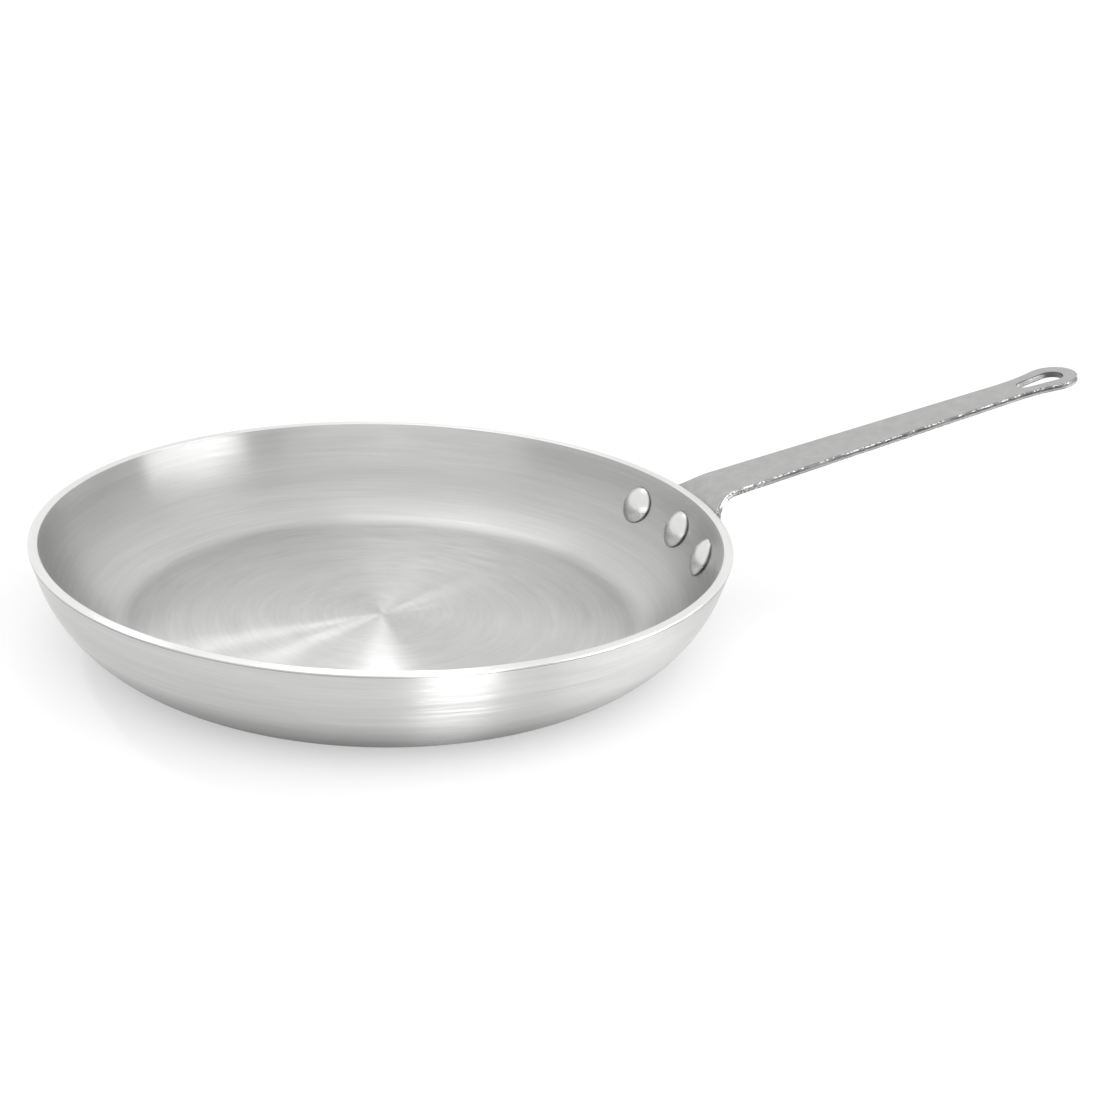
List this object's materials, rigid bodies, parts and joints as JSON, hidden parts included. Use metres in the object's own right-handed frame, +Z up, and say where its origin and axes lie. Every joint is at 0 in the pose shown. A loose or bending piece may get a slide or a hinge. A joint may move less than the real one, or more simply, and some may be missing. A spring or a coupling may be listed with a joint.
{
  "type": "omelette pan",
  "caption": "Round shallow pan with curved sides and a flat floor, and a long tapering strap handle riveted to the wall and ending in a hanging slot.",
  "frame": {"origin": "centre of the flat resting face under the pan", "axes": "+Z up out of the pan, +X from the pan's axis towards the end of the handle, +Y to the left for an eye above the pan that looks along +X"},
  "size_m": [0.4965, 0.3, 0.0965],
  "materials": {
    "pan_aluminium": "spun, fine rings round the axis, natural",
    "plated_steel": "tumbled and plated, satin",
    "rivet_aluminium": "polished"
  },
  "bodies": {
    "root": {"pan_body": "pan_aluminium", "handle": "plated_steel", "rivet_left": "rivet_aluminium", "rivet_centre": "rivet_aluminium", "rivet_right": "rivet_aluminium"}
  },
  "joints": []
}
